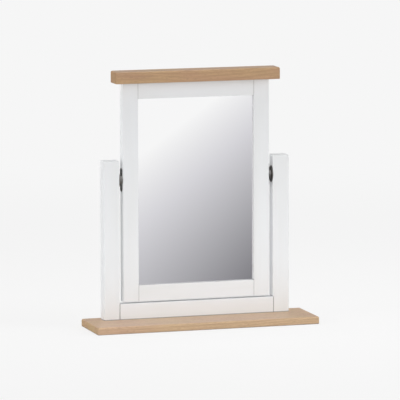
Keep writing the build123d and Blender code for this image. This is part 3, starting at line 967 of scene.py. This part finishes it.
def studio_camera(settings):
    """A long lens at the photograph's angle, which its azimuth, elevation and roll give."""
    camera = bpy.data.objects.new("camera", bpy.data.cameras.new("camera"))
    bpy.context.scene.collection.objects.link(camera)
    camera.matrix_world = (
        Matrix.Translation(settings.target)
        @ Matrix.Rotation(-settings.azimuth, 4, "Z")
        @ Matrix.Rotation(math.pi / 2 - settings.elevation, 4, "X")
        @ Matrix.Rotation(settings.roll, 4, "Z")
        @ Matrix.Translation((0.0, 0.0, settings.distance))
    )
    camera.data.lens = settings.lens
    camera.data.clip_end = 4.0 * FLOOR_REACH
    bpy.context.scene.camera = camera


# Operators

class FinishOak(bpy.types.Operator):
    """Give the base board and the cap their lacquered oak"""

    bl_idname = "swivel_mirror.finish_oak"
    bl_label = "Oak base and cap"

    def execute(self, context):
        settings = context.scene.swivel_oak
        base = settings.base_shade, settings.base_end, settings.base_top_painted_light
        cap = settings.cap_shade, settings.cap_end, settings.cap_top_painted_light
        dress(oak("oak of the base board", BASE_HEART, *base, settings), "base_board")
        dress(oak("oak of the cap", CAP_HEART, *cap, settings), "top_cap")
        return {"FINISHED"}


class FinishPaint(bpy.types.Operator):
    """Paint the posts, the low rail and the mirror frame white"""

    bl_idname = "swivel_mirror.finish_paint"
    bl_label = "White posts and frame"

    def execute(self, context):
        settings = context.scene.swivel_paint
        dress(
            paint("white paint, upright grain", along_z, settings),
            "left_post", "right_post", "left_stile", "right_stile",
        )
        dress(
            paint("white paint, level grain", along_x, settings),
            "stretcher_rail", "top_rail", "bottom_rail",
        )
        return {"FINISHED"}


class FinishPlainWood(bpy.types.Operator):
    """Give the beads, the dowels and the backing board their bare wood"""

    bl_idname = "swivel_mirror.finish_plain_wood"
    bl_label = "Beads, dowels and backing board"

    def execute(self, context):
        settings = context.scene.swivel_plain_wood
        softwood = settings.bead, settings.bead_line
        beech = settings.dowel, settings.dowel_line
        for name, wood, stretch, nodes in (
            ("upright bead", softwood, along_z, ("left_bead", "right_bead")),
            ("level bead", softwood, along_x, ("top_bead", "bottom_bead")),
            ("upright dowel", beech, along_z, ("cap_dowels",)),
            ("level dowel", beech, along_x, ("stretcher_dowels",)),
        ):
            dress(bare_wood(name, *wood, stretch, settings), *nodes)
        dress(hardboard(settings), "backing_board")
        return {"FINISHED"}


class FinishGlass(bpy.types.Operator):
    """Silver the mirror glass"""

    bl_idname = "swivel_mirror.finish_glass"
    bl_label = "Mirror glass"

    def execute(self, context):
        dress(silvered_glass(context.scene.swivel_glass), "mirror_glass")
        return {"FINISHED"}


class FinishHinges(bpy.types.Operator):
    """Give the hinge plates, rivets and washers their metals and fibre"""

    bl_idname = "swivel_mirror.finish_hinges"
    bl_label = "Hinges"

    def execute(self, context):
        settings = context.scene.swivel_metal
        plating, worn = settings.plating, settings.worn
        plate = plated("dark plating of the plates", plating, worn, settings, PLATE_WEAR_AND_LIGHT)
        cup = plated("dark plating of the cups", plating, worn, settings, CUP_WEAR_AND_LIGHT)
        bright = plated("zinc-plated steel", settings.steel, settings.steel_dull, settings)
        for side in ("left_", "right_"):
            dress(plate, side + "post_plate")
            dress(cup, side + "frame_plate")
            dress(bright, side + "rivet", side + "spring_washer")
            dress(fibre(settings), side + "friction_washer")
        return {"FINISHED"}


class MakeScrews(bpy.types.Operator):
    """Replace the plain screws by threaded ones with a cross in the head"""

    bl_idname = "swivel_mirror.make_screws"
    bl_label = "Screws"

    def execute(self, context):
        settings = context.scene.swivel_screws
        metal = context.scene.swivel_metal
        dark = plated("dark screw plating", metal.plating, metal.worn, metal)
        bright = plated("zinc-plated screws", metal.steel, metal.steel_dull, metal)
        down, back, left, right = (0, 0, -1), (0, 1, 0), (-1, 0, 0), (1, 0, 0)
        for node, faces_out, slot, material in (
            ("base_screws", [(0, down)], "steel", bright),
            ("backing_screws", [(0, back)], "steel", bright),
            ("post_plate_screws", [(-1, right), (1, left)], "dark_metal", dark),
            ("strap_screws", [(-1, left), (1, right)], "dark_metal", dark),
        ):
            screw_piece(node, faces_out, material, settings)
        return {"FINISHED"}


class SetStudio(bpy.types.Operator):
    """Set the floor, the lamps, the light all round and the camera"""

    bl_idname = "swivel_mirror.set_studio"
    bl_label = "Studio"

    def execute(self, context):
        settings = context.scene.swivel_studio
        floor = studio_floor(settings)
        context.scene.world = studio_world(settings)
        middle = tuple((low + high) / 2 for low, high in zip(*cad_box))
        large = settings.lamp_size, settings.lamp_size
        thin = settings.strip_length, settings.strip_width
        left = aimed("left lamp", settings.left_place, middle, settings.left_power, large)
        right = aimed("right lamp", settings.right_place, middle, settings.right_power, large)
        aimed("overhead lamp", settings.top_place, middle, settings.top_power, large)
        strip = aimed(
            "low strip lamp", settings.strip_place, settings.strip_target, settings.strip_power,
            thin,
        )
        back = aimed("back lamp", settings.back_place, middle, settings.back_power, large)
        front = aimed("front left lamp", settings.front_place, middle, settings.front_power, large)
        for lamp in (left, right, strip, back, front):
            lamp.visible_glossy = False
        spare_the_floor(floor, strip, back, front)
        studio_camera(settings)
        context.scene.view_settings.view_transform = "Standard"
        return {"FINISHED"}


class MirrorPanel(bpy.types.Panel):
    """Lists the steps that finish the mirror"""

    bl_idname = "VIEW3D_PT_swivel_mirror"
    bl_label = "Dressing Table Mirror"
    bl_space_type = "VIEW_3D"
    bl_region_type = "UI"
    bl_category = "Mirror"

    def draw(self, context):
        for step in STEPS:
            self.layout.operator(step.bl_idname)


SETTINGS = {
    "swivel_oak": OakSettings,
    "swivel_paint": PaintSettings,
    "swivel_plain_wood": PlainWoodSettings,
    "swivel_glass": GlassSettings,
    "swivel_metal": MetalSettings,
    "swivel_screws": ScrewSettings,
    "swivel_studio": StudioSettings,
}
STEPS = (
    FinishOak, FinishPaint, FinishPlainWood, FinishGlass, FinishHinges, MakeScrews, SetStudio
)


def register():
    """Adds the settings, the steps and the panel."""
    for kind in (*SETTINGS.values(), *STEPS, MirrorPanel):
        bpy.utils.register_class(kind)
    for name, kind in SETTINGS.items():
        setattr(bpy.types.Scene, name, PointerProperty(type=kind))


def unregister():
    """Takes the panel, the steps and the settings away again."""
    for name in SETTINGS:
        delattr(bpy.types.Scene, name)
    for kind in (MirrorPanel, *reversed(STEPS), *SETTINGS.values()):
        bpy.utils.unregister_class(kind)


def main():
    """Runs every step in order."""
    register()
    for step in STEPS:
        group, name = step.bl_idname.split(".")
        getattr(getattr(bpy.ops, group), name)()


if __name__ == "__main__":
    main()
